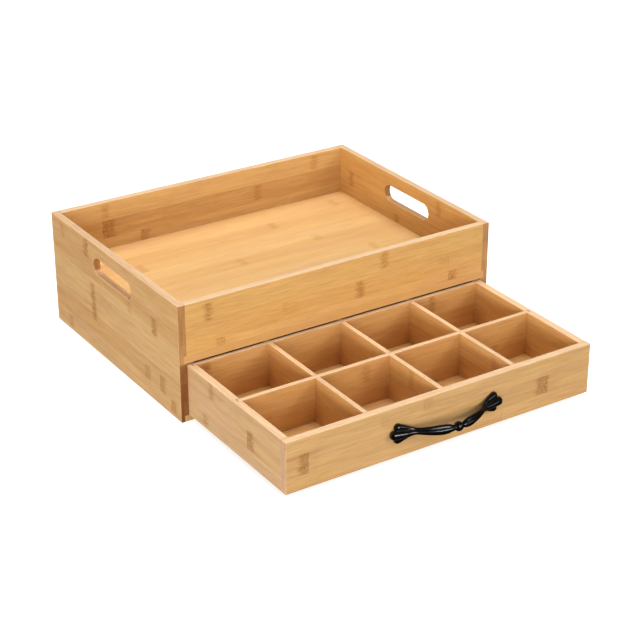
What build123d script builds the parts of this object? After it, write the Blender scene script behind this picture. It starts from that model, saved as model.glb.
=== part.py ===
"""Tea bag drawer box: an open bamboo tray on top of one full-width drawer.

Millimetres, +Z up. The origin is the centre of the case's footprint on the
table: X runs left to right seen from the front, the case's front plane is at
-Y and its back at +Y. The drawer is modelled pulled out by `pull_out`.
"""
import math
import os

from build123d import *

os.makedirs("parts", exist_ok=True)

# ---------------------------------------------------------------- dimensions
case_w = 370.0          # over the side panels
case_d = 274.0          # front plane to back plane
case_h = 124.4          # table to rim
board = 8.0             # every structural board
base_t = 6.5            # panel under the drawer
rabbet = 4.0            # housing of the base in the side panels and the back
floor_z = 62.8          # underside of the tray floor
floor_t = 8.0
tongue = 3.0            # tray floor tongues into the side panels and the back

slot_len = 82.0         # stadium hand slot in each side panel
slot_h = 18.4
slot_z = 101.0

edge_r = 0.8            # softened outer edges
arris_r = 0.5           # softened inner edges
slot_r = 1.2            # rounding round the hand slots

pull_out = 176.0        # how far the drawer stands out of the case
side_gap = 0.8          # drawer side to side panel
run_gap = 0.4           # drawer underside to base panel
back_gap = 0.4          # closed drawer to the back board
drawer_top = 60.6
bottom_t = 4.0          # drawer bottom panel
bottom_up = 3.0         # its underside above the drawer's lower edge
bottom_groove = 3.0

divider_t = 5.0
divider_tongue = 3.2    # long divider end inside the side board
divider_groove = 4.0    # open-topped groove that takes it
groove_play = 0.1       # each side of a divider in its groove or lap
columns = 4
rows = 3

dowel_d = 4.0
dowel_len = 20.0
dowel_in_face = 5.0     # share of the dowel in the face of the board it meets
dowel_play = 0.1

pull_z = 33.2           # height of the pull's centre line
pull_holes = 96.0       # hole spacing of the pull
pull_reach = 21.0       # drawer face to the middle of the centre ball
pull_ball_r = 5.0
screw_d = 4.0
screw_hole_d = 4.6
screw_in_pull = 6.0     # thread engaged in the foot
head_d = 9.0
head_h = 2.4

# ------------------------------------------------------------------- derived
xo = case_w / 2                       # outer face of a side panel
xi = xo - board                       # its inner face
yf = -case_d / 2                      # case front plane
yb = case_d / 2                       # case back plane
ybi = yb - board                      # inner face of the back board
floor_top = floor_z + floor_t

dxo = xi - side_gap                   # outer face of a drawer side
dxi = dxo - board
dyf = yf - pull_out                   # drawer front face
dyfi = dyf + board                    # inner face of the drawer front
drawer_d = case_d - board - back_gap
dyb = dyf + drawer_d                  # back face of the drawer
dybi = dyb - board
dz0 = base_t + run_gap                # drawer's lower edge
drawer_h = drawer_top - dz0
bz0 = dz0 + bottom_up                 # underside of the drawer bottom
bz1 = bz0 + bottom_t                  # floor of the compartments
divider_h = drawer_top - bz1

cell_x = (2 * dxi - (columns - 1) * divider_t) / columns
cell_y = (dybi - dyfi - (rows - 1) * divider_t) / rows
cross_x = [-dxi + (i + 1) * cell_x + (i + 0.5) * divider_t for i in range(columns - 1)]
long_y = [dyfi + (j + 1) * cell_y + (j + 0.5) * divider_t for j in range(rows - 1)]
lap_z = bz1 + divider_h / 2


def finish(piece, name):
    """Label a finished piece and write it as its own file."""
    piece.part.label = name
    export_step(piece.part, f"parts/{name}.step")


def near(value, target, tol=0.02):
    return abs(value - target) < tol


# ====================================================================== case
front_dowel_z = (84.0, 111.0)         # in the tray front board
back_dowel_z = (24.0, 48.0, 98.0)     # in the back board
board_mid_f = yf + board / 2
board_mid_b = yb - board / 2

# Side panel: outline with the hand slot cut through, then the dado for the
# tray floor, the rabbet for the base and the dowel holes from the inside.
with BuildPart() as side_panel_left:
    with BuildSketch(Plane.YZ.offset(-xo)):
        with Locations((0, case_h / 2)):
            Rectangle(case_d, case_h)
        with Locations((0, slot_z)):
            SlotOverall(slot_len, slot_h, mode=Mode.SUBTRACT)
    extrude(amount=board)
    # softened outline on the outside, lighter on the inside of the rim
    fillet(
        side_panel_left.faces().sort_by(Axis.X)[0].outer_wire().edges(),
        radius=edge_r,
    )
    fillet(
        side_panel_left.edges().filter_by(
            lambda e: near(e.center().X, -xi) and near(e.center().Z, case_h)
        ),
        radius=arris_r,
    )
    fillet(
        side_panel_left.edges().filter_by(
            lambda e: abs(e.center().Y) < slot_len / 2 + 1
            and abs(e.center().Z - slot_z) < slot_h / 2 + 1
            and (near(e.center().X, -xo) or near(e.center().X, -xi))
        ),
        radius=slot_r,
    )
    with BuildSketch(Plane.XY.offset(floor_z)):
        with Locations((-xi - tongue / 2, (yf + ybi + tongue) / 2)):
            Rectangle(tongue, ybi + tongue - yf)
    extrude(amount=floor_t, mode=Mode.SUBTRACT)
    with BuildSketch(Plane.XY):
        with Locations((-xi - rabbet / 2, (yf + ybi + rabbet) / 2)):
            Rectangle(rabbet, ybi + rabbet - yf)
    extrude(amount=base_t, mode=Mode.SUBTRACT)
    with BuildSketch(Plane.YZ.offset(-xi)):
        with Locations(*[(board_mid_f, z) for z in front_dowel_z]):
            Circle(dowel_d / 2 + dowel_play)
        with Locations(*[(board_mid_b, z) for z in back_dowel_z]):
            Circle(dowel_d / 2 + dowel_play)
    extrude(amount=-dowel_in_face - 0.3, mode=Mode.SUBTRACT)
finish(side_panel_left, "side_panel_left")

with BuildPart() as side_panel_right:
    mirror(side_panel_left.part, about=Plane.YZ)
finish(side_panel_right, "side_panel_right")

# Tray front board: flush with the case front, standing on the tray floor.
with BuildPart() as tray_front_board:
    with BuildSketch(Plane.XY.offset(floor_top)):
        with Locations((0, board_mid_f)):
            Rectangle(2 * xi, board)
    extrude(amount=case_h - floor_top)
    fillet(
        tray_front_board.faces().sort_by(Axis.Z)[-1].edges().filter_by(Axis.X),
        radius=arris_r,
    )
    for side in (-1, 1):
        with BuildSketch(Plane.YZ.offset(side * xi)):
            with Locations(*[(board_mid_f, z) for z in front_dowel_z]):
                Circle(dowel_d / 2 + dowel_play)
        extrude(amount=-side * (dowel_len - dowel_in_face + 0.3), mode=Mode.SUBTRACT)
finish(tray_front_board, "tray_front_board")

# Tray floor: one wide panel, its tongues housed at both sides and the back.
with BuildPart() as tray_floor_panel:
    with BuildSketch(Plane.XY.offset(floor_z)):
        with Locations((0, (yf + ybi + tongue) / 2)):
            Rectangle(2 * (xi + tongue), ybi + tongue - yf)
    extrude(amount=floor_t)
finish(tray_floor_panel, "tray_floor_panel")

# Back board: full height, grooved for the tray floor, rabbeted for the base.
with BuildPart() as back_board:
    with BuildSketch(Plane.XY):
        with Locations((0, board_mid_b)):
            Rectangle(2 * xi, board)
    extrude(amount=case_h)
    fillet(
        back_board.faces().sort_by(Axis.Z)[-1].edges().filter_by(Axis.X),
        radius=arris_r,
    )
    with BuildSketch(Plane.XY.offset(floor_z)):
        with Locations((0, ybi + tongue / 2)):
            Rectangle(2 * xi, tongue)
    extrude(amount=floor_t, mode=Mode.SUBTRACT)
    with BuildSketch(Plane.XY):
        with Locations((0, ybi + rabbet / 2)):
            Rectangle(2 * xi, rabbet)
    extrude(amount=base_t, mode=Mode.SUBTRACT)
    for side in (-1, 1):
        with BuildSketch(Plane.YZ.offset(side * xi)):
            with Locations(*[(board_mid_b, z) for z in back_dowel_z]):
                Circle(dowel_d / 2 + dowel_play)
        extrude(amount=-side * (dowel_len - dowel_in_face + 0.3), mode=Mode.SUBTRACT)
finish(back_board, "back_board")

# Base panel: lies on the table inside the rabbets, its front edge showing.
with BuildPart() as base_panel:
    with BuildSketch(Plane.XY):
        with Locations((0, (yf + ybi + rabbet) / 2)):
            Rectangle(2 * (xi + rabbet), ybi + rabbet - yf)
    extrude(amount=base_t)
finish(base_panel, "base_panel")

# Hidden dowels of the case, lying along X across the butt joints.
with BuildPart() as front_board_dowels:
    for side in (-1, 1):
        with BuildSketch(Plane.YZ.offset(side * (xi + dowel_in_face))):
            with Locations(*[(board_mid_f, z) for z in front_dowel_z]):
                Circle(dowel_d / 2)
        extrude(amount=-side * dowel_len)
    chamfer(front_board_dowels.edges().filter_by(GeomType.CIRCLE), length=0.4)
finish(front_board_dowels, "front_board_dowels")

with BuildPart() as back_board_dowels:
    for side in (-1, 1):
        with BuildSketch(Plane.YZ.offset(side * (xi + dowel_in_face))):
            with Locations(*[(board_mid_b, z) for z in back_dowel_z]):
                Circle(dowel_d / 2)
        extrude(amount=-side * dowel_len)
    chamfer(back_board_dowels.edges().filter_by(GeomType.CIRCLE), length=0.4)
finish(back_board_dowels, "back_board_dowels")

# ==================================================================== drawer
side_mid = (dxo + dxi) / 2
drawer_dowel_z = (26.0, 50.0)

# Drawer front: covers the ends of the side boards. Stopped groove for the
# bottom panel and two clearance holes for the pull's screws.
with BuildPart() as drawer_front:
    with BuildSketch(Plane.XY.offset(dz0)):
        with Locations((0, (dyf + dyfi) / 2)):
            Rectangle(2 * dxo, board)
    extrude(amount=drawer_h)
    fillet(drawer_front.faces().sort_by(Axis.Y)[0].edges(), radius=edge_r)
    fillet(
        drawer_front.edges().filter_by(Axis.X).filter_by(
            lambda e: near(e.center().Y, dyfi) and near(e.center().Z, drawer_top)
        ),
        radius=arris_r,
    )
    with BuildSketch(Plane.XY.offset(bz0)):
        with Locations((0, dyfi - bottom_groove / 2)):
            Rectangle(2 * (dxi + bottom_groove), bottom_groove)
    extrude(amount=bottom_t, mode=Mode.SUBTRACT)
    with BuildSketch(Plane.XZ.offset(-dyfi)):
        with Locations((-pull_holes / 2, pull_z), (pull_holes / 2, pull_z)):
            Circle(screw_hole_d / 2)
    extrude(amount=board, mode=Mode.SUBTRACT)
    with BuildSketch(Plane.XZ.offset(-dyfi)):
        with Locations(*[(s * side_mid, z) for s in (-1, 1) for z in drawer_dowel_z]):
            Circle(dowel_d / 2 + dowel_play)
    extrude(amount=dowel_in_face + 0.3, mode=Mode.SUBTRACT)
finish(drawer_front, "drawer_front")

# Drawer side: groove for the bottom panel and, open at the top edge, a groove
# for each long divider.
with BuildPart() as drawer_side_left:
    with BuildSketch(Plane.XY.offset(dz0)):
        with Locations((-side_mid, (dyfi + dybi) / 2)):
            Rectangle(board, dybi - dyfi)
    extrude(amount=drawer_h)
    fillet(
        drawer_side_left.faces().sort_by(Axis.Z)[-1].edges().filter_by(Axis.Y),
        radius=arris_r,
    )
    with BuildSketch(Plane.XY.offset(bz0)):
        with Locations((-dxi - bottom_groove / 2, (dyfi + dybi) / 2)):
            Rectangle(bottom_groove, dybi - dyfi)
    extrude(amount=bottom_t, mode=Mode.SUBTRACT)
    with BuildSketch(Plane.XY.offset(bz1)):
        with Locations(*[(-dxi - divider_groove / 2, y) for y in long_y]):
            Rectangle(divider_groove, divider_t + 2 * groove_play)
    extrude(amount=divider_h, mode=Mode.SUBTRACT)
    for y_end, into in ((dyfi, -1), (dybi, 1)):
        with BuildSketch(Plane.XZ.offset(-y_end)):
            with Locations(*[(-side_mid, z) for z in drawer_dowel_z]):
                Circle(dowel_d / 2 + dowel_play)
        extrude(amount=into * (dowel_len - dowel_in_face + 0.3), mode=Mode.SUBTRACT)
finish(drawer_side_left, "drawer_side_left")

with BuildPart() as drawer_side_right:
    mirror(drawer_side_left.part, about=Plane.YZ)
finish(drawer_side_right, "drawer_side_right")

# Drawer back: full width like the front, grooved for the bottom panel.
with BuildPart() as drawer_back:
    with BuildSketch(Plane.XY.offset(dz0)):
        with Locations((0, (dybi + dyb) / 2)):
            Rectangle(2 * dxo, board)
    extrude(amount=drawer_h)
    fillet(
        drawer_back.faces().sort_by(Axis.Z)[-1].edges().filter_by(Axis.X),
        radius=arris_r,
    )
    with BuildSketch(Plane.XY.offset(bz0)):
        with Locations((0, dybi + bottom_groove / 2)):
            Rectangle(2 * (dxi + bottom_groove), bottom_groove)
    extrude(amount=bottom_t, mode=Mode.SUBTRACT)
    with BuildSketch(Plane.XZ.offset(-dybi)):
        with Locations(*[(s * side_mid, z) for s in (-1, 1) for z in drawer_dowel_z]):
            Circle(dowel_d / 2 + dowel_play)
    extrude(amount=-dowel_in_face - 0.3, mode=Mode.SUBTRACT)
finish(drawer_back, "drawer_back")

# Drawer bottom: thin panel, housed in the grooves of all four walls.
with BuildPart() as drawer_bottom:
    with BuildSketch(Plane.XY.offset(bz0)):
        with Locations((0, (dyfi + dybi) / 2)):
            Rectangle(2 * (dxi + bottom_groove), dybi - dyfi + 2 * bottom_groove)
    extrude(amount=bottom_t)
finish(drawer_bottom, "drawer_bottom")

# Hidden dowels of the drawer, lying along Y at its four corners.
with BuildPart() as drawer_front_dowels:
    with BuildSketch(Plane.XZ.offset(-(dyfi - dowel_in_face))):
        with Locations(*[(s * side_mid, z) for s in (-1, 1) for z in drawer_dowel_z]):
            Circle(dowel_d / 2)
    extrude(amount=-dowel_len)
    chamfer(drawer_front_dowels.edges().filter_by(GeomType.CIRCLE), length=0.4)
finish(drawer_front_dowels, "drawer_front_dowels")

with BuildPart() as drawer_back_dowels:
    with BuildSketch(Plane.XZ.offset(-(dybi + dowel_in_face))):
        with Locations(*[(s * side_mid, z) for s in (-1, 1) for z in drawer_dowel_z]):
            Circle(dowel_d / 2)
    extrude(amount=dowel_len)
    chamfer(drawer_back_dowels.edges().filter_by(GeomType.CIRCLE), length=0.4)
finish(drawer_back_dowels, "drawer_back_dowels")

# Long dividers: whole along the top, notched from below for the cross ones.
with BuildPart() as long_divider_front:
    with BuildSketch(Plane.XY.offset(bz1)):
        with Locations((0, long_y[0])):
            Rectangle(2 * (dxi + divider_tongue), divider_t)
    extrude(amount=divider_h)
    fillet(
        long_divider_front.faces().sort_by(Axis.Z)[-1].edges().filter_by(Axis.X),
        radius=arris_r,
    )
    with BuildSketch(Plane.XY.offset(bz1)):
        with Locations(*[(x, long_y[0]) for x in cross_x]):
            Rectangle(divider_t + 2 * groove_play, divider_t)
    extrude(amount=divider_h / 2, mode=Mode.SUBTRACT)
finish(long_divider_front, "long_divider_front")

with BuildPart() as long_divider_rear:
    with Locations((0, long_y[1] - long_y[0], 0)):
        add(long_divider_front.part)
finish(long_divider_rear, "long_divider_rear")

# Cross dividers: notched from above, their ends against front and back.
with BuildPart() as cross_divider_left:
    with BuildSketch(Plane.XY.offset(bz1)):
        with Locations((cross_x[0], (dyfi + dybi) / 2)):
            Rectangle(divider_t, dybi - dyfi)
    extrude(amount=divider_h)
    fillet(
        cross_divider_left.faces().sort_by(Axis.Z)[-1].edges().filter_by(Axis.Y),
        radius=arris_r,
    )
    with BuildSketch(Plane.XY.offset(lap_z)):
        with Locations(*[(cross_x[0], y) for y in long_y]):
            Rectangle(divider_t, divider_t + 2 * groove_play)
    extrude(amount=divider_h / 2, mode=Mode.SUBTRACT)
finish(cross_divider_left, "cross_divider_left")

with BuildPart() as cross_divider_centre:
    with Locations((cross_x[1] - cross_x[0], 0, 0)):
        add(cross_divider_left.part)
finish(cross_divider_centre, "cross_divider_centre")

with BuildPart() as cross_divider_right:
    with Locations((cross_x[2] - cross_x[0], 0, 0)):
        add(cross_divider_left.part)
finish(cross_divider_right, "cross_divider_right")

# ====================================================================== pull
# Local plane of the pull: x along the drawer face, y up, z out of the face.
pull_plane = Plane(origin=(0, dyf, pull_z), x_dir=(1, 0, 0), z_dir=(0, -1, 0))
bow_half = 40.0                       # the bow meets the feet here
bow_low = 6.3
bow_sag = pull_reach - bow_low
bow_r = (bow_half**2 + bow_sag**2) / (2 * bow_sag)
bow_c = pull_reach - bow_r            # centre of the bow's arc, out of the face
bar_r = 4.3
foot_t = 5.4
crown_t = 7.4


def bow_point(x):
    """A point of the bow's centre line, x along the drawer face."""
    return (x, dyf - bow_c - math.sqrt(bow_r**2 - x**2), pull_z)


with BuildPart() as pull_handle:
    # round bar bent to the bow, its ends inside the feet
    with BuildLine():
        bow = ThreePointArc(bow_point(-42.0), bow_point(0.0), bow_point(42.0))
    with BuildSketch(Plane(origin=bow @ 0, z_dir=bow % 0)):
        Circle(bar_r)
    sweep()
    # centre ball, turned about the bow's centre line
    with BuildSketch(Plane.XY.offset(pull_z)):
        with BuildLine():
            ball_y = dyf - pull_reach
            Line((-4.8, ball_y), (4.8, ball_y))
            Line((4.8, ball_y), (4.8, ball_y - 1.4))
            ThreePointArc(
                (-4.8, ball_y - 1.4), (0, ball_y - pull_ball_r), (4.8, ball_y - 1.4)
            )
            Line((-4.8, ball_y), (-4.8, ball_y - 1.4))
        make_face()
    revolve(axis=Axis((0, dyf - pull_reach, pull_z), (1, 0, 0)))
    # feet: three rounded lobes that spread from the neck, flat at the back
    for side in (-1, 1):
        with BuildSketch(pull_plane):
            for tip_x, tip_z, tip_r, neck_z, neck_r in (
                (60.2, 0.0, 5.2, 0.0, 4.9),
                (56.6, 6.9, 4.3, 1.0, 2.8),
                (56.6, -6.9, 4.3, -1.0, 2.8),
            ):
                with BuildSketch(Plane.XY, mode=Mode.PRIVATE) as lobe:
                    with Locations((side * bow_half, neck_z)):
                        Circle(neck_r)
                    with Locations((side * tip_x, tip_z)):
                        Circle(tip_r)
                    make_hull()
                add(lobe.sketch)
        extrude(amount=foot_t)
        # raised crown over the screw, where the bar runs out into the foot
        with BuildSketch(pull_plane):
            with Locations((side * 50.0, 0)):
                SlotOverall(17.0, 6.0)
        extrude(amount=crown_t)
    with BuildSketch(pull_plane):
        with Locations((-pull_holes / 2, 0), (pull_holes / 2, 0)):
            Circle(screw_d / 2)
    extrude(amount=screw_in_pull + 0.4, mode=Mode.SUBTRACT)
finish(pull_handle, "pull_handle")

# Screws: pan heads in the compartments, threads in the feet of the pull.
with BuildPart() as pull_screws:
    with BuildSketch(Plane.XZ.offset(-dyfi)):
        with Locations((-pull_holes / 2, pull_z), (pull_holes / 2, pull_z)):
            Circle(screw_d / 2 - 0.02)
    extrude(amount=board + screw_in_pull)
    with BuildSketch(Plane.XZ.offset(-dyfi)):
        with Locations((-pull_holes / 2, pull_z), (pull_holes / 2, pull_z)):
            Circle(head_d / 2)
    extrude(amount=-head_h)
    fillet(
        pull_screws.edges().filter_by(GeomType.CIRCLE).filter_by(
            lambda e: near(e.center().Y, dyfi + head_h)
        ),
        radius=1.2,
    )
    # cross recess in each head
    with BuildSketch(Plane.XZ.offset(-(dyfi + head_h))):
        with Locations((-pull_holes / 2, pull_z), (pull_holes / 2, pull_z)):
            Rectangle(4.4, 1.0)
            Rectangle(1.0, 4.4)
    extrude(amount=1.4, mode=Mode.SUBTRACT)
finish(pull_screws, "pull_screws")

print(f"compartment {cell_x:.2f} x {cell_y:.2f} x {divider_h:.1f} mm, {columns} x {rows}")
print(f"drawer {2 * dxo:.1f} x {drawer_d:.1f} x {drawer_h:.1f} mm, front face at y {dyf:.1f}")
print(f"pull: bow radius {bow_r:.1f}, reach {pull_reach + pull_ball_r:.1f} mm")
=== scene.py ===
"""Looks of the tea bag drawer box: lacquered bamboo boards, a black enamelled pull.

Metres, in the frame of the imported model: X to the right, -Y out of the front,
+Z up, the origin under the middle of the case.
"""

import math

import bmesh
import bpy
from mathutils import Matrix, Vector


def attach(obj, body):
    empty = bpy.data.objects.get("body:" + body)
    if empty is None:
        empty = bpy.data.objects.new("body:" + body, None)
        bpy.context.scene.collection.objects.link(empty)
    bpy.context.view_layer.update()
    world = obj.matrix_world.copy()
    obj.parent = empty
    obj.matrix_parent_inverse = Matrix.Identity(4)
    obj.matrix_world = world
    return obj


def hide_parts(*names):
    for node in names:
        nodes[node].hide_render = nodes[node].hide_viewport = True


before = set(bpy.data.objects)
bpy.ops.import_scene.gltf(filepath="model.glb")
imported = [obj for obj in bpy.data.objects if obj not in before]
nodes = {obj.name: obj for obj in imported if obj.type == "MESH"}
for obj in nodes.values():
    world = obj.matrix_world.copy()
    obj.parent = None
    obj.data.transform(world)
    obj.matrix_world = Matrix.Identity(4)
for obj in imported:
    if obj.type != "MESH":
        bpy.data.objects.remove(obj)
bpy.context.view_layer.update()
MM = 0.001


# ------------------------------------------------------------------ node help
def srgb(r, g, b):
    """An 8-bit display colour as a linear colour."""

    def lin(c):
        c /= 255.0
        return c / 12.92 if c <= 0.04045 else ((c + 0.055) / 1.055) ** 2.4

    return (lin(r), lin(g), lin(b), 1.0)


class Graph:
    """One material and short names for the nodes it is built from."""

    def __init__(self, name):
        self.mat = bpy.data.materials.new(name)
        self.mat.use_nodes = True
        self.tree = self.mat.node_tree
        self.tree.nodes.clear()
        self.coord = self.add("ShaderNodeTexCoord")
        self.xyz = self.add("ShaderNodeSeparateXYZ")
        self.tree.links.new(self.coord.outputs["Object"], self.xyz.inputs[0])

    def add(self, kind, **values):
        node = self.tree.nodes.new(kind)
        for key, value in values.items():
            setattr(node, key, value)
        return node

    def put(self, socket, value):
        if isinstance(value, bpy.types.NodeSocket):
            self.tree.links.new(value, socket)
        else:
            socket.default_value = value

    def math(self, op, a, b=0.0, c=0.0, clamp=False):
        node = self.add("ShaderNodeMath", operation=op, use_clamp=clamp)
        for socket, value in zip(node.inputs, (a, b, c)):
            self.put(socket, value)
        return node.outputs[0]

    def mul(self, a, b):
        return self.math("MULTIPLY", a, b)

    def plus(self, a, b):
        return self.math("ADD", a, b)

    def axis_mm(self, axis):
        return self.mul(self.xyz.outputs[axis], 1000.0)

    def vector(self, x, y, z):
        node = self.add("ShaderNodeCombineXYZ")
        for socket, value in zip(node.inputs, (x, y, z)):
            self.put(socket, value)
        return node.outputs[0]

    def noise(self, vector, detail=2.0, rough=0.5, distortion=0.0):
        node = self.add("ShaderNodeTexNoise", noise_dimensions="3D")
        self.put(node.inputs["Vector"], vector)
        node.inputs["Scale"].default_value = 1.0
        node.inputs["Detail"].default_value = detail
        node.inputs["Roughness"].default_value = rough
        node.inputs["Distortion"].default_value = distortion
        return node.outputs["Fac"]

    def edges(self, vector):
        """Distance to the nearest border between irregular cells."""
        node = self.add("ShaderNodeTexVoronoi", voronoi_dimensions="3D", feature="DISTANCE_TO_EDGE")
        self.put(node.inputs["Vector"], vector)
        node.inputs["Scale"].default_value = 1.0
        return node.outputs["Distance"]

    def random(self, value):
        node = self.add("ShaderNodeTexWhiteNoise", noise_dimensions="1D")
        self.put(node.inputs["W"], value)
        return node.outputs["Value"]

    def step(self, value, low, high, out_low=0.0, out_high=1.0):
        """Smooth step of a value, clamped."""
        node = self.add("ShaderNodeMapRange", interpolation_type="SMOOTHSTEP")
        for socket, v in zip(node.inputs, (value, low, high, out_low, out_high)):
            self.put(socket, v)
        return node.outputs[0]

    def mix(self, factor, a, b, blend="MIX"):
        node = self.add("ShaderNodeMix", data_type="RGBA", blend_type=blend)
        self.put(node.inputs[0], factor)
        self.put(node.inputs[6], a)
        self.put(node.inputs[7], b)
        return node.outputs[2]

    def bump(self, height, distance, strength=1.0, normal=None):
        node = self.add("ShaderNodeBump")
        node.inputs["Strength"].default_value = strength
        node.inputs["Distance"].default_value = distance
        self.put(node.inputs["Height"], height)
        if normal is not None:
            self.put(node.inputs["Normal"], normal)
        return node.outputs[0]

    def finish(self, colour, roughness, normal=None, **uniform):
        shader = self.add("ShaderNodeBsdfPrincipled")
        self.put(shader.inputs["Base Color"], colour)
        self.put(shader.inputs["Roughness"], roughness)
        if normal is not None:
            self.put(shader.inputs["Normal"], normal)
        for key, value in uniform.items():
            shader.inputs[key.replace("_", " ")].default_value = value
        out = self.add("ShaderNodeOutputMaterial")
        self.tree.links.new(shader.outputs[0], out.inputs[0])
        return self.mat


# --------------------------------------------------------------------- bamboo
# Tones of the strips, from straw to honey to a rosier one.
STRAW = srgb(229, 184, 117)
HONEY = srgb(216, 161, 92)
ROSE = srgb(220, 168, 114)


def bamboo(name, along, across, seed, strip=20.0, first=0.0, marks=(), joints=(),
           gain=(1.0, 1.0, 1.0), outer=None, painted_end_shade_below=None, end_gain=1.0, end_tone=(188, 136, 98),
           end_mix=0.45, pale_edge=0.60, pale_above=-999.0, calm=1.0):
    """Edge-glued bamboo strips that run along one axis.

    first is where a strip begins on the across axis. A mark is one knuckle:
    (along, across, half length, half width, strength). A joint is a butt joint
    in one strip: (along, across, half width, how much the far side differs);
    one that starts off the board tones the whole strip. gain tints the broad
    faces, and outer, where given, the one that looks along +thickness; these
    tints are partly each board's tone and partly painted light and shade, and
    where outer is given one board gets a darker tint inside and a lighter one
    outside: painted shade and painted light. painted_end_shade_below darkens the end grain that
    looks along - below that height, as painted shade, end_gain scales the end
    grain, and it leans to end_tone. pale_edge is how pale the edges are painted
    from pale_above upwards, partly their paler edge grain and partly painted
    light from above; below that the cut faces are painted paler, partly cut
    grain and partly painted light. calm below one softens the streaks.
    Millimetres, row frame.
    """
    g = Graph(name)
    thick = ({"X", "Y", "Z"} - {along, across}).pop()
    u, v, w = g.axis_mm(along), g.axis_mm(across), g.axis_mm(thick)

    place = g.math("DIVIDE", g.math("SUBTRACT", v, first), strip)
    index = g.math("FLOOR", place)
    inside = g.math("FRACT", place)
    edge = g.mul(g.math("MINIMUM", inside, g.math("SUBTRACT", 1.0, inside)), strip)
    seam = g.step(edge, 0.05, 0.45, 1.0, 0.0)
    tone_a = g.random(g.plus(index, seed * 7.13 + 0.5))
    tone_b = g.random(g.plus(index, seed * 3.71 + 90.5))
    slide = g.mul(tone_b, 57.0)           # so that the grain breaks at a seam

    # where the knuckles are. Each has a clear edge on one side, a ragged one on the
    # other, a fine line along the clear edge and a long faint halo in its strip.
    ragged = g.mul(
        g.math("SUBTRACT", g.noise(g.vector(g.mul(u, 0.10), g.mul(v, 1 / 2.0), seed + 5.0), 3.0, 0.6), 0.5), 13.0
    )
    bowed = g.mul(
        g.math("SUBTRACT", g.noise(g.vector(seed + 1.7, g.mul(v, 1 / 8.0), seed + 9.0), 2.0), 0.5), 3.6
    )
    core = halo = ring = None
    for mu, mv, half_u, half_v, strength in marks:
        way = 1.0 if int(abs(mu) * 3 + abs(mv)) % 2 else -1.0
        off = g.plus(g.mul(g.math("SUBTRACT", u, mu), way), bowed)
        dv = g.math("ABSOLUTE", g.math("SUBTRACT", v, mv))
        in_strip = g.step(dv, half_v - 0.9, half_v + 0.5, 1.0, 0.0)
        if half_u > 4.4:
            clear = g.step(off, half_u - 0.5, half_u + 0.7, strength, 0.0)
            line = g.mul(
                g.step(g.math("ABSOLUTE", g.math("SUBTRACT", off, half_u - 0.3)), 0.15, 0.85, strength, 0.0),
                in_strip,
            )
            ring = line if ring is None else g.math("MAXIMUM", ring, line)
        else:                             # a narrow one is ragged on both sides
            clear = g.step(g.plus(off, g.mul(ragged, -0.8)), half_u - 3.0, half_u + 3.2, strength, 0.0)
        rough = g.step(g.plus(off, ragged), -half_u - 3.2, -half_u + 2.6)
        one = g.mul(g.mul(clear, rough), in_strip)
        far = g.mul(g.mul(g.step(off, -44.0, -2.0), g.step(off, 0.0, 26.0, strength, 0.0)), in_strip)
        core = one if core is None else g.math("MAXIMUM", core, one)
        halo = far if halo is None else g.math("MAXIMUM", halo, far)

    # the grain wanders across the board, more so beside a knuckle
    wander = g.noise(g.vector(g.mul(u, 1 / 110.0), g.mul(v, 1 / 30.0), seed + 0.37), 1.0)
    vw = g.plus(v, g.mul(g.math("SUBTRACT", wander, 0.5), 3.4))
    if halo is not None:
        swirl = g.noise(g.vector(g.mul(u, 1 / 13.0), g.mul(v, 1 / 9.0), seed + 2.2), 1.0)
        vw = g.plus(vw, g.mul(halo, g.mul(g.math("SUBTRACT", swirl, 0.5), 6.0)))

    def grain(length, width, detail, shift):
        return g.noise(
            g.vector(
                g.mul(g.plus(u, slide), 1.0 / length),
                g.plus(g.mul(vw, 1.0 / width), shift + seed),
                g.plus(g.mul(w, 1.0 / width), shift * 0.5),
            ),
            detail,
        )

    broad = grain(230.0, 15.0, 1.0, 3.0)
    hue = grain(75.0, 11.0, 1.0, 63.0)
    bands = grain(85.0, 4.0, 2.0, 11.0)
    fibre = grain(24.0, 1.7, 2.0, 23.0)
    hair = grain(30.0, 0.55, 1.0, 31.0)
    fleck = g.step(grain(11.0, 0.9, 1.0, 41.0), 0.62, 0.74)

    # strip tone, blotches of hue, broad bands, then fibres
    colour = g.mix(g.step(tone_a, 0.0, 1.0, 0.10, 0.80), STRAW, HONEY)
    colour = g.mix(g.step(hue, 0.32, 0.70, 0.08, 0.66), colour, ROSE)
    colour = g.mix(g.step(broad, 0.30, 0.70, 0.0, 0.50), colour, STRAW)
    shade = g.plus(
        g.plus(g.step(bands, 0.25, 0.75, 0.935, 1.045), g.step(fibre, 0.25, 0.75, -0.085, 0.06)),
        g.mul(g.math("SUBTRACT", tone_b, 0.5), 0.05),
    )
    shade = g.plus(shade, g.step(hair, 0.3, 0.7, -0.05, 0.035))
    shade = g.plus(shade, g.mul(fleck, -0.11))
    shade = g.plus(shade, g.mul(seam, -0.08))

    # a strip that is not one piece: the far side of a butt joint
    for ju, jv, half, change in joints:
        beyond = g.step(u, ju - 0.12, ju + 0.12)
        strip_only = g.step(g.math("ABSOLUTE", g.math("SUBTRACT", v, jv)), half - 0.1, half + 0.1, 1.0, 0.0)
        line = g.step(g.math("ABSOLUTE", g.math("SUBTRACT", u, ju)), 0.15, 0.6, 1.0, 0.0)
        shade = g.plus(shade, g.mul(g.mul(beyond, strip_only), change))
        shade = g.plus(shade, g.mul(g.mul(line, strip_only), -0.18))

    if core is not None:
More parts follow.
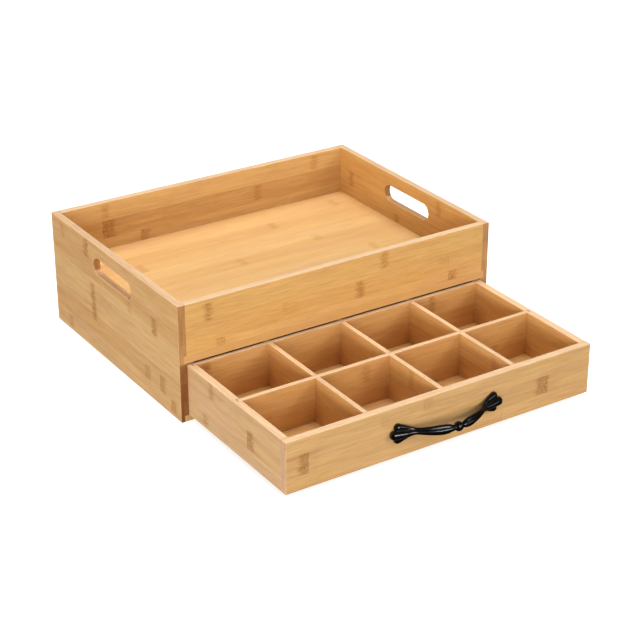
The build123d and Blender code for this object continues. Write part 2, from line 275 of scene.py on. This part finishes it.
        # curved dark lines that mesh round paler islands, patchy, with rosy spots
        bend = g.math("SUBTRACT", g.noise(g.vector(g.mul(u, 1 / 2.6), g.mul(v, 1 / 2.0), seed + 4.0), 1.0), 0.5)
        cells = g.edges(
            g.vector(
                g.plus(g.mul(u, 1 / 3.9), g.mul(bend, 1.1)),
                g.plus(g.mul(v, 1 / 1.75), g.mul(bend, 1.3)),
                g.plus(g.mul(w, 1 / 3.0), seed),
            )
        )
        net = g.step(cells, 0.02, 0.17, 1.0, 0.0)
        patch = g.noise(g.vector(g.mul(u, 1 / 6.0), g.mul(v, 1 / 5.0), seed + 8.0), 2.0, 0.6)
        spot = g.step(g.noise(g.vector(g.mul(u, 1 / 5.5), g.mul(v, 1 / 4.0), seed + 18.0), 1.0), 0.56, 0.68)
        dash = g.mul(core, g.mul(net, g.step(patch, 0.36, 0.60, 0.18, 1.0)))
        drift = g.mul(halo, g.step(g.plus(g.mul(broad, 0.45), g.mul(bands, 0.55)), 0.34, 0.60, 1.0, 0.12))
        colour = g.mix(g.mul(drift, 0.34), colour, srgb(196, 140, 76))
        colour = g.mix(g.mul(core, g.step(patch, 0.34, 0.66, 0.56, 0.22)), colour, srgb(182, 124, 64))
        colour = g.mix(g.mul(g.mul(core, spot), 0.42), colour, srgb(214, 138, 78))
        colour = g.mix(g.mul(dash, 0.72), colour, srgb(144, 82, 34))
        if ring is not None:
            colour = g.mix(g.mul(ring, g.step(patch, 0.34, 0.60, 0.42, 0.08)), colour, srgb(150, 98, 44))

    # which way this face looks: end grain, board edge or broad face
    look = g.add("ShaderNodeSeparateXYZ")
    g.tree.links.new(g.coord.outputs["Normal"], look.inputs[0])
    is_end = g.step(g.math("ABSOLUTE", look.outputs[along]), 0.6, 0.85)
    is_edge = g.step(g.math("ABSOLUTE", look.outputs[across]), 0.6, 0.85)
    pores = g.noise(g.vector(g.mul(u, 1 / 6.0), g.mul(v, 1 / 0.6), g.mul(w, 1 / 0.6)), 2.0)
    ply = g.noise(g.vector(seed + 1.0, g.mul(v, 1 / 24.0), g.mul(w, 1 / 2.0)), 1.0)
    end_shade = g.plus(g.step(pores, 0.35, 0.65, 0.64, 0.80), g.step(ply, 0.3, 0.7, -0.08, 0.08))
    end_shade = g.plus(end_shade, g.mul(g.math("SUBTRACT", tone_b, 0.5), 0.16))
    if painted_end_shade_below is not None:               # painted shade: only the end that looks along -, darker below this height, where the drawer beside it shades it
        low = g.mul(
            g.step(look.outputs[along], -0.85, -0.6, 1.0, 0.0), g.step(v, painted_end_shade_below - 2.0, painted_end_shade_below + 2.0, 1.0, 0.0)
        )
        end_shade = g.mul(end_shade, g.math("SUBTRACT", 1.0, g.mul(low, 0.40)))
    if pale_above > 0:                   # the sawn ends of a hand slot are darker
        end_shade = g.mul(end_shade, g.step(g.math("ABSOLUTE", u), 70.0, 80.0, 0.74, 1.0))
    shade = g.plus(g.mul(g.math("SUBTRACT", shade, 1.0), calm), 1.0)
    shade = g.plus(
        g.mul(shade, g.math("SUBTRACT", 1.0, is_end)),
        g.mul(g.mul(end_shade, end_gain), is_end),
    )
    high = g.step(v, pale_above - 0.5, pale_above + 0.5)
    is_cut = g.mul(is_edge, g.math("SUBTRACT", 1.0, high))
    is_edge = g.mul(is_edge, high)
    colour = g.mix(g.mul(is_end, end_mix), colour, srgb(*end_tone))
    # painted shade: the same low end grain leans to a redder brown
    if painted_end_shade_below is not None:
        colour = g.mix(g.mul(low, 0.5), colour, srgb(176, 112, 60))
    # pale edges and cut faces: partly their own paler grain, partly painted light on the rims and the slot's
    # faces; the slight edge darkening below trims that painted light
    colour = g.mix(g.mul(is_edge, pale_edge), colour, srgb(239, 210, 180))
    colour = g.mix(g.mul(is_cut, 0.7), colour, srgb(226, 182, 140))
    shade = g.plus(shade, g.mul(is_edge, -0.02))

    # the tint: partly each board's tone, partly painted light and shade fitted to each face; edges, cut faces and
    # end grain are left out of it
    tint = g.add("ShaderNodeCombineColor")
    plain = g.math("MAXIMUM", g.plus(is_edge, is_cut), is_end)
    for i, socket in enumerate(list(tint.inputs)[:3]):
        k = gain[i] if outer is None else g.step(look.outputs[thick], 0.3, 0.7, gain[i], outer[i])
        whole = g.plus(k, g.mul(plain, g.math("SUBTRACT", 1.0, k)))
        deep = g.math("POWER", shade, (0.80, 1.05, 1.35)[i])       # dark grain is browner
        g.put(socket, g.mul(deep, whole))
    colour = g.mix(1.0, colour, tint.outputs[0], "MULTIPLY")

    height = g.plus(g.mul(fibre, 0.45), g.mul(bands, 0.25))
    height = g.plus(height, g.mul(hair, 0.3))
    height = g.plus(height, g.mul(fleck, -0.5))
    height = g.plus(height, g.mul(seam, -0.7))
    if core is not None:
        height = g.plus(height, g.mul(dash, -0.6))
    height = g.plus(height, g.mul(g.mul(pores, is_end), -1.2))
    normal = g.bump(height, 0.00006)
    roughness = g.plus(g.step(bands, 0.2, 0.8, 0.42, 0.52), g.mul(is_end, 0.16))
    return g.finish(
        colour, roughness, normal,
        Coat_Weight=0.16, Coat_Roughness=0.30, Specular_IOR_Level=0.36,
    )


def wear(node, material):
    data = nodes[node].data
    data.materials.clear()
    data.materials.append(material)


# Boards of the case. Knuckles stand where the real one shows them.
# the left panel's front end grain below 62 mm is darkened and reddened: painted shade from the drawer beside it
wear("side_panel_left", bamboo(
    "bamboo_side_left", "Y", "Z", 1.3, strip=20.7, first=0.2, painted_end_shade_below=62.0, pale_above=115.0,
    gain=(1.06, 1.08, 1.23),
    marks=[
        (57.0, 113.5, 4.3, 10.0, 0.95), (46.0, 67.0, 4.0, 10.4, 0.95), (44.5, 46.5, 4.2, 10.4, 1.0),
        (-36.0, 83.0, 3.6, 6.0, 0.45), (-88.0, 83.0, 4.3, 9.6, 0.95), (-70.0, 26.0, 5.0, 8.0, 0.5),
        (-101.0, 26.0, 5.0, 9.4, 0.75), (-122.0, 11.0, 4.5, 7.0, 0.8), (112.0, 113.0, 4.0, 8.0, 0.35),
        (104.0, 10.0, 4.3, 8.0, 0.5),
    ],
))
# right panel: darker inner tint, painted shade; lighter outer tint, painted light
wear("side_panel_right", bamboo(
    "bamboo_side_right", "Y", "Z", 2.1, strip=20.7, first=0.2, pale_above=115.0,
    gain=(0.88, 0.82, 0.69), outer=(1.03, 1.03, 1.12), end_gain=1.08,
    marks=[
        (107.5, 93.0, 3.4, 9.0, 0.7), (-59.0, 113.5, 4.0, 8.5, 0.6), (18.0, 72.0, 4.0, 9.0, 0.7),
        (-96.0, 52.0, 4.6, 9.6, 0.9), (60.0, 31.0, 4.2, 9.2, 0.8), (-30.0, 10.5, 4.2, 8.0, 0.8),
        (92.0, 10.5, 4.2, 8.0, 0.6),
    ],
))
wear("tray_front_board", bamboo(
    "bamboo_tray_front", "X", "Z", 3.7, strip=21.5, first=59.5, gain=(0.99, 0.98, 0.87),
    marks=[
        (-152.0, 111.0, 4.0, 9.2, 0.75), (-139.0, 76.0, 4.6, 4.5, 0.5), (23.3, 89.5, 3.6, 9.6, 0.95),
        (52.3, 114.5, 3.6, 9.4, 0.7), (138.5, 75.0, 4.6, 6.6, 0.8), (128.0, 95.0, 6.0, 6.0, 0.25),
        (-60.0, 92.0, 9.0, 7.0, 0.16),
    ],
))
wear("tray_floor_panel", bamboo(
    "bamboo_tray_floor", "X", "Y", 4.9, strip=21.0, first=-137.0, gain=(1.07, 1.12, 1.24), pale_edge=0.0,
    calm=0.62,
    marks=[
        (57.0, 84.0, 3.6, 8.0, 0.55), (-22.0, 20.0, 3.8, 9.0, 0.35), (120.0, -20.0, 4.0, 9.2, 0.4),
        (-120.0, 62.0, 4.0, 9.2, 0.5), (-84.0, -62.0, 4.0, 9.0, 0.35), (20.0, -104.0, 4.0, 9.0, 0.4),
        (150.0, 104.0, 4.0, 9.0, 0.4), (-150.0, -20.0, 4.0, 9.0, 0.4), (81.0, 32.0, 4.4, 8.0, 0.3),
    ],
))
# back board: darker inner tint, painted shade; lighter outer tint, painted light
wear("back_board", bamboo(
    "bamboo_back", "X", "Z", 5.3, strip=20.7, first=0.2, gain=(0.79, 0.77, 0.73), outer=(1.03, 1.04, 1.16),
    joints=[(-400.0, 93.4, 10.3, -0.05), (-400.0, 114.1, 10.3, 0.05)],
    marks=[
        (-123.0, 93.5, 7.0, 10.3, 1.0), (-126.0, 114.0, 4.0, 8.6, 0.45), (-80.0, 76.0, 4.8, 7.4, 0.75), (64.0, 94.0, 4.2, 9.2, 0.55),
        (140.0, 114.0, 4.2, 8.8, 0.5), (10.0, 52.0, 4.2, 9.6, 0.85), (-60.0, 31.0, 4.2, 9.6, 0.85),
        (120.0, 31.0, 4.2, 9.6, 0.8), (-150.0, 10.5, 4.2, 8.6, 0.8), (70.0, 10.5, 4.2, 8.6, 0.7),
    ],
))
wear("base_panel", bamboo(
    "bamboo_base", "X", "Y", 6.1, strip=24.0, first=-137.0, gain=(0.96, 0.95, 0.93), pale_edge=0.0,
    marks=[
        (-100.0, -80.0, 4.4, 10.0, 0.8), (30.0, -32.0, 4.4, 10.0, 0.8), (110.0, 40.0, 4.4, 10.0, 0.8),
        (-40.0, 88.0, 4.4, 10.0, 0.8), (-130.0, 16.0, 4.4, 10.0, 0.7),
    ],
))

# Boards of the drawer.
# dividers' tint: partly their tone, partly painted shade for the cells
DIVIDER_TONE_AND_SHADE = (0.88, 0.84, 0.79)
wear("drawer_front", bamboo(
    "bamboo_drawer_front", "X", "Z", 7.7, strip=21.0, first=0.7, gain=(1.02, 1.03, 1.10), end_gain=1.34,
    end_tone=(228, 183, 152), end_mix=0.8,
    marks=[
        (-156.7, 33.2, 4.6, 11.0, 1.0), (117.3, 32.0, 6.6, 9.6, 0.95), (-20.0, 52.5, 5.0, 6.0, 0.3),
        (-68.0, 50.0, 5.0, 5.0, 0.2),
    ],
    joints=[(68.4, 11.2, 10.5, 0.035)],
))
wear("drawer_side_left", bamboo(
    "bamboo_drawer_side_left", "Y", "Z", 8.9, strip=21.0, first=1.0, gain=(1.05, 1.12, 1.47),
    marks=[
        (-181.3, 51.5, 3.6, 8.6, 0.7), (-168.4, 15.5, 3.8, 6.4, 0.55), (-252.0, 33.0, 5.4, 10.0, 1.0),
        (-96.0, 33.0, 4.4, 9.0, 0.7),
    ],
))
# drawer's right side: darker inner tint, painted shade; lighter outer tint, painted light
wear("drawer_side_right", bamboo(
    "bamboo_drawer_side_right", "Y", "Z", 9.4, strip=21.0, first=1.0, gain=(0.90, 0.86, 0.80),
    outer=(1.03, 1.03, 1.12),
    marks=[(-205.0, 33.0, 4.4, 9.4, 0.8), (-120.0, 53.0, 4.0, 8.0, 0.7), (-268.0, 14.0, 4.4, 6.4, 0.7)],
))
wear("drawer_back", bamboo(
    "bamboo_drawer_back", "X", "Z", 10.6, strip=21.0, first=1.0,
    marks=[(-84.0, 33.0, 4.4, 9.4, 0.8), (62.0, 52.0, 4.0, 8.0, 0.7), (140.0, 14.0, 4.4, 6.4, 0.7)],
))
wear("drawer_bottom", bamboo(
    "bamboo_drawer_bottom", "X", "Y", 11.2, strip=24.0, first=-308.0, gain=(0.97, 0.96, 0.94),
    marks=[
        (-120.0, -260.0, 4.4, 10.0, 0.7), (34.0, -212.0, 4.4, 10.0, 0.7), (-40.0, -164.0, 4.4, 10.0, 0.7),
        (128.0, -140.0, 4.4, 10.0, 0.6), (60.0, -92.0, 4.4, 10.0, 0.6), (130.0, -284.0, 4.4, 10.0, 0.5),
    ],
))
wear("long_divider_front", bamboo(
    "bamboo_long_divider_front", "X", "Z", 12.5, strip=23.5, first=13.8, gain=DIVIDER_TONE_AND_SHADE,
    marks=[(-30.0, 48.0, 4.0, 9.4, 0.55), (128.0, 25.0, 4.0, 9.4, 0.6), (-140.0, 25.0, 4.0, 9.4, 0.5)],
))
wear("long_divider_rear", bamboo(
    "bamboo_long_divider_rear", "X", "Z", 13.1, strip=23.5, first=13.8, gain=DIVIDER_TONE_AND_SHADE,
    marks=[(-158.0, 50.0, 3.4, 9.6, 0.85), (111.0, 50.0, 3.4, 9.6, 0.8), (30.0, 25.0, 4.0, 9.4, 0.5)],
))
wear("cross_divider_left", bamboo(
    "bamboo_cross_divider_left", "Y", "Z", 14.8, strip=23.5, first=13.8, gain=DIVIDER_TONE_AND_SHADE,
    marks=[(-225.0, 49.0, 3.6, 9.4, 0.4), (-90.0, 25.0, 4.0, 9.4, 0.6)],
))
wear("cross_divider_centre", bamboo(
    "bamboo_cross_divider_centre", "Y", "Z", 15.4, strip=23.5, first=13.8, gain=DIVIDER_TONE_AND_SHADE,
    marks=[(-262.0, 49.0, 3.6, 9.4, 0.5), (-120.0, 25.0, 4.0, 9.4, 0.6)],
))
wear("cross_divider_right", bamboo(
    "bamboo_cross_divider_right", "Y", "Z", 16.9, strip=23.5, first=13.8, gain=DIVIDER_TONE_AND_SHADE,
    marks=[(-280.0, 48.0, 4.0, 9.4, 0.45), (-180.0, 25.0, 4.0, 9.4, 0.5)],
))


# -------------------------------------------------------- dowels and hardware
def dowel_wood(name, along, seed):
    g = Graph(name)
    others = [a for a in "XYZ" if a != along]
    u, v, w = g.axis_mm(along), g.axis_mm(others[0]), g.axis_mm(others[1])
    grain = g.noise(g.vector(g.mul(u, 1 / 14.0), g.plus(g.mul(v, 1.6), seed), g.mul(w, 1.6)), 3.0)
    colour = g.mix(g.step(grain, 0.3, 0.7), srgb(222, 188, 138), srgb(196, 152, 98))
    return g.finish(colour, g.step(grain, 0.2, 0.8, 0.55, 0.7), g.bump(grain, 0.00008), Specular_IOR_Level=0.35)


for n, axis, seed in (
    ("front_board_dowels", "X", 1.0), ("back_board_dowels", "X", 2.0),
    ("drawer_front_dowels", "Y", 3.0), ("drawer_back_dowels", "Y", 4.0),
):
    wear(n, dowel_wood("beech_" + n, axis, seed))


def plated_steel(name):
    g = Graph(name)
    x, y, z = g.axis_mm("X"), g.axis_mm("Y"), g.axis_mm("Z")
    # turned marks round each head: distance from the nearer screw's axis
    dx = g.math("SUBTRACT", g.math("ABSOLUTE", x), 48.0)
    dz = g.math("SUBTRACT", z, 33.2)
    r = g.math("SQRT", g.plus(g.mul(dx, dx), g.mul(dz, dz)))
    turned = g.noise(g.vector(g.mul(r, 5.0), g.mul(y, 0.6), 2.0), 2.0)
    haze = g.noise(g.vector(g.mul(x, 0.5), g.mul(y, 0.5), g.mul(z, 0.5)), 3.0)
    colour = g.mix(g.step(haze, 0.3, 0.7), srgb(206, 204, 198), srgb(176, 175, 172))
    return g.finish(
        colour, g.step(turned, 0.3, 0.7, 0.28, 0.42), g.bump(turned, 0.00002), Metallic=1.0,
    )


wear("pull_screws", plated_steel("zinc_screw"))


def black_enamel(name):
    g = Graph(name)
    x, y, z = g.axis_mm("X"), g.axis_mm("Y"), g.axis_mm("Z")
    peel = g.noise(g.vector(g.mul(x, 0.7), g.mul(y, 0.7), g.mul(z, 0.7)), 2.0)
    dust = g.noise(g.vector(g.mul(x, 0.12), g.mul(y, 0.12), g.mul(z, 0.12)), 3.0)
    colour = g.mix(g.step(dust, 0.3, 0.7), srgb(7, 6, 8), srgb(13, 11, 12))
    return g.finish(
        colour, g.step(dust, 0.25, 0.75, 0.26, 0.34), g.bump(peel, 0.00003),
        Specular_IOR_Level=0.42, Coat_Weight=0.3, Coat_Roughness=0.16,
    )


# ----------------------------------------------------------------------- pull
FACE_Y = -0.313        # drawer front face
PULL_Z = 0.0332


def table(keys, x):
    """Smooth curve through (x, value) keys."""
    if x <= keys[0][0]:
        return keys[0][1]
    if x >= keys[-1][0]:
        return keys[-1][1]
    n = len(keys)
    slope = []
    for i in range(n):
        a, b = max(i - 1, 0), min(i + 1, n - 1)
        slope.append((keys[b][1] - keys[a][1]) / (keys[b][0] - keys[a][0]))
    for i in range(n - 1):
        x0, y0 = keys[i]
        x1, y1 = keys[i + 1]
        if x <= x1:
            h = x1 - x0
            t = (x - x0) / h
            return (
                (2 * t**3 - 3 * t**2 + 1) * y0 + (t**3 - 2 * t**2 + t) * h * slope[i]
                + (-2 * t**3 + 3 * t**2) * y1 + (t**3 - t**2) * h * slope[i + 1]
            )


# distance of the bow's centre line from the face, in mm along the face
BOW = [(0, 20.9), (6, 20.6), (10, 20.0), (18, 18.2), (27, 14.3), (35, 9.7), (40, 6.6), (44, 5.0), (50, 3.6), (56, 2.2), (61, 1.2)]
MID_R = [(5.2, 2.5), (6.2, 2.9), (8, 3.1), (12, 2.95), (18, 2.75), (25, 2.55), (33, 2.3), (39, 2.3), (45, 2.7), (51, 3.3), (56, 4.0), (60.1, 4.6)]
MID_OUT = [(5, 0.0), (10, 0.7), (18, 1.3), (30, 1.4), (39, 1.6), (48, 2.2), (56, 1.9), (61, 1.1)]
SIDE_R = [(5.2, 2.0), (8, 2.3), (12, 2.45), (18, 2.4), (25, 2.15), (33, 1.85), (38, 1.7), (42, 1.8), (47, 2.5), (52, 3.5), (55.6, 4.2)]
SIDE_Z = [(5.2, 0.6), (8, 1.6), (12, 2.5), (18, 2.8), (25, 2.5), (33, 2.05), (38, 2.0), (42, 2.9), (47, 4.3), (52, 5.5), (55.6, 6.3)]
SIDE_OUT = [(5, 0.0), (18, -0.5), (30, -0.4), (40, -0.6), (48, -1.3), (56, -1.4)]


def rib(bm, stations, sides=40):
    """A round rib through stations of (x, out of face, z, radius), with domed ends."""
    rings = []
    count = len(stations)
    for i, (x, out, z, r) in enumerate(stations):
        a = Vector(stations[max(i - 1, 0)][:3])
        b = Vector(stations[min(i + 1, count - 1)][:3])
        t = (b - a).normalized()
        side = Vector((0, 0, 1)).cross(t).normalized()
        up = t.cross(side).normalized()
        ring = []
        for k in range(sides):
            a2 = 2 * math.pi * k / sides
            p = Vector((x, out, z)) + (side * math.cos(a2) + up * math.sin(a2)) * r
            ring.append(bm.verts.new((p.x * MM, FACE_Y - p.y * MM, PULL_Z + p.z * MM)))
        rings.append(ring)
    for a, b in zip(rings, rings[1:]):
        for k in range(sides):
            bm.faces.new((a[k], a[(k + 1) % sides], b[(k + 1) % sides], b[k]))
    bm.faces.new(rings[0])
    bm.faces.new(list(reversed(rings[-1])))


def dome(bm, x, out, z, r, flat=1.0):
    """A ball, flattened towards the face by flat."""
    made = bmesh.ops.create_uvsphere(bm, u_segments=40, v_segments=28, radius=r * MM)
    for vert in made["verts"]:
        vert.co.y *= flat
        vert.co += Vector((x * MM, FACE_Y - out * MM, PULL_Z + z * MM))


def make_pull():
    bm = bmesh.new()
    for side in (-1, 1):
        xs = [5.2 + (60.1 - 5.2) * i / 110 for i in range(111)]
        rib(bm, [(side * x, table(BOW, x) + table(MID_OUT, x), 0.0, table(MID_R, x)) for x in xs])
        dome(bm, side * 60.3, table(BOW, 60.3) + table(MID_OUT, 60.3), 0.0, 4.7, 0.95)
        xs = [5.2 + (55.6 - 5.2) * i / 104 for i in range(105)]
        for up in (-1, 1):
            rib(bm, [
                (side * x, table(BOW, x) + table(SIDE_OUT, x), up * table(SIDE_Z, x), table(SIDE_R, x)) for x in xs
            ])
            dome(bm, side * 55.6, table(BOW, 55.6) + table(SIDE_OUT, 55.6), up * 6.3, 4.2, 0.95)
        # neck between the bar and the ball
        rib(bm, [(side * x, 20.8, 0.0, 2.6) for x in (2.0, 3.5, 5.0, 6.6)])
    dome(bm, 0.0, 20.8, 0.0, 4.9)
    bmesh.ops.recalc_face_normals(bm, faces=bm.faces)
    mesh = bpy.data.meshes.new("pull_casting")
    bm.to_mesh(mesh)
    bm.free()
    piece = bpy.data.objects.new("pull_casting", mesh)
    bpy.context.scene.collection.objects.link(piece)

    fuse = piece.modifiers.new("fuse", "REMESH")
    fuse.mode = "VOXEL"
    fuse.voxel_size = 0.00034
    soften = piece.modifiers.new("soften", "SMOOTH")
    soften.factor = 0.5
    soften.iterations = 7
    apply_all(piece)

    # the seating face: cut flat where it meets the wood
    bm = bmesh.new()
    bm.from_mesh(piece.data)
    cut = bmesh.ops.bisect_plane(
        bm, geom=bm.verts[:] + bm.edges[:] + bm.faces[:], dist=1e-7,
        plane_co=(0, FACE_Y - 0.00002, 0), plane_no=(0, 1, 0), clear_outer=True,
    )
    rim = [e for e in cut["geom_cut"] if isinstance(e, bmesh.types.BMEdge)]
    bmesh.ops.holes_fill(bm, edges=rim)
    bmesh.ops.recalc_face_normals(bm, faces=bm.faces)
    bm.to_mesh(piece.data)
    bm.free()
    for poly in piece.data.polygons:
        poly.use_smooth = poly.normal.y < 0.98
    return piece


def apply_all(piece):
    """Turn the modifiers' result into the piece's own mesh."""
    deps = bpy.context.evaluated_depsgraph_get()
    deps.update()
    done = bpy.data.meshes.new_from_object(piece.evaluated_get(deps))
    piece.modifiers.clear()
    piece.data = done


pull = make_pull()
pull.data.materials.clear()
pull.data.materials.append(black_enamel("black_enamel"))
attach(pull, "drawer")
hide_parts("pull_handle")


# ---------------------------------------------------------------------- stage
def make_floor():
    bm = bmesh.new()
    bmesh.ops.create_grid(bm, x_segments=1, y_segments=1, size=60.0)
    mesh = bpy.data.meshes.new("floor")
    bm.to_mesh(mesh)
    bm.free()
    floor = bpy.data.objects.new("floor", mesh)
    floor.location.z = -0.00015
    bpy.context.scene.collection.objects.link(floor)
    g = Graph("pale_floor")
    mat = g.finish(
        (0.56, 0.57, 0.58, 1.0), 0.6, Specular_IOR_Level=0.2,
        Emission_Color=(1.0, 1.0, 1.0, 1.0), Emission_Strength=0.74,
    )
    floor.data.materials.append(mat)
    floor.visible_glossy = False          # a dark table in reflections, for deep blacks
    floor.visible_diffuse = False         # the world alone lights faces from below
    return floor


make_floor()


def make_backdrop():
    """A pale dome beyond the floor, seen by the camera and by nothing else."""
    bm = bmesh.new()
    bmesh.ops.create_uvsphere(bm, u_segments=64, v_segments=32, radius=16.0)
    mesh = bpy.data.meshes.new("backdrop")
    bm.to_mesh(mesh)
    bm.free()
    dome = bpy.data.objects.new("backdrop", mesh)
    bpy.context.scene.collection.objects.link(dome)
    g = Graph("pale_backdrop")
    dome.data.materials.append(g.finish(
        (0.0, 0.0, 0.0, 1.0), 1.0, Specular_IOR_Level=0.0,
        Emission_Color=(1.0, 1.0, 1.0, 1.0), Emission_Strength=0.93,
    ))
    dome.visible_diffuse = False
    dome.visible_glossy = False
    dome.visible_transmission = False
    dome.visible_shadow = False
    return dome


make_backdrop()


def area_light(name, place, target, size, power, colour=(1, 1, 1), size_y=None):
    data = bpy.data.lights.new(name, "AREA")
    data.energy = power
    data.color = colour
    data.size = size
    if size_y:
        data.shape = "RECTANGLE"
        data.size_y = size_y
    lamp = bpy.data.objects.new(name, data)
    bpy.context.scene.collection.objects.link(lamp)
    aim = (Vector(target) - Vector(place)).to_track_quat("-Z", "Y")
    lamp.matrix_world = Matrix.Translation(place) @ aim.to_matrix().to_4x4()
    return lamp


top_box = area_light("top_box", (0.1, 0.1, 3.0), (0.0, -0.1, 0.0), 1.6, 69.0)
front_low = area_light("front_low", (-2.0, -3.6, 0.85), (0.0, -0.15, 0.05), 2.2, 72.0, size_y=1.2)
front_right = area_light("front_right", (2.2, -2.8, 1.9), (0.0, -0.1, 0.05), 1.6, 42.0, size_y=1.2)
left_low = area_light("left_low", (-3.3, -0.9, 0.32), (0.0, -0.1, 0.05), 1.8, 44.0, size_y=0.5)
back_fill = area_light("back_fill", (0.9, 3.4, 0.26), (0.0, 0.13, 0.05), 2.4, 88.0, size_y=0.4)
right_fill = area_light("right_fill", (3.4, 0.7, 0.26), (0.18, 0.0, 0.05), 2.0, 60.0, size_y=0.4)
for fill in (top_box, front_low, front_right, left_low, back_fill, right_fill):
    fill.visible_glossy = False           # soft fills: only the strips below shine
kicker = area_light("kicker", (0.15, -3.35, 1.12), (0.0, -0.31, 0.035), 2.1, 78.0, size_y=0.55)
kicker_right = area_light("kicker_right", (2.3, -2.4, 1.0), (0.0, -0.31, 0.035), 0.7, 6.0, size_y=0.4)
glint_top = area_light("glint_top", (0.1, 0.1, 3.0), (0.0, -0.1, 0.0), 0.6, 5.0)
for strip in (kicker, kicker_right, glint_top):
    strip.visible_diffuse = False
only_pull = bpy.data.collections.new("only_pull")
only_pull.objects.link(pull)
for strip in (kicker, kicker_right):      # drawn on the enamel, kept off the satin boards
    strip.light_linking.receiver_collection = only_pull

world = bpy.data.worlds.new("studio")
bpy.context.scene.world = world
world.use_nodes = True
world.cycles_visibility.glossy = False
backdrop = world.node_tree.nodes["Background"]
backdrop.inputs[0].default_value = (1.0, 1.0, 1.0, 1.0)
backdrop.inputs[1].default_value = 0.34

bpy.context.scene.view_settings.view_transform = "Standard"
bpy.context.scene.view_settings.look = "None"
bpy.context.scene.view_settings.exposure = 0.0
bpy.context.scene.view_settings.gamma = 1.0

# --------------------------------------------------------------------- camera
lens = bpy.data.cameras.new("photo_camera")
lens.lens = 98.625
lens.sensor_width = 36.0
lens.clip_start = 0.05
lens.clip_end = 60.0
camera = bpy.data.objects.new("photo_camera", lens)
bpy.context.scene.collection.objects.link(camera)
right = Vector((0.83770938, -0.54611629, 0.0))
up = Vector((0.24258448, 0.37210993, 0.89592799))
back = Vector((-0.48928087, -0.75052728, 0.44419931))
turn = Matrix((right, up, back)).transposed().to_4x4()
camera.matrix_world = Matrix.Translation((-0.879311, -1.447124, 0.843438)) @ turn
bpy.context.scene.camera = camera
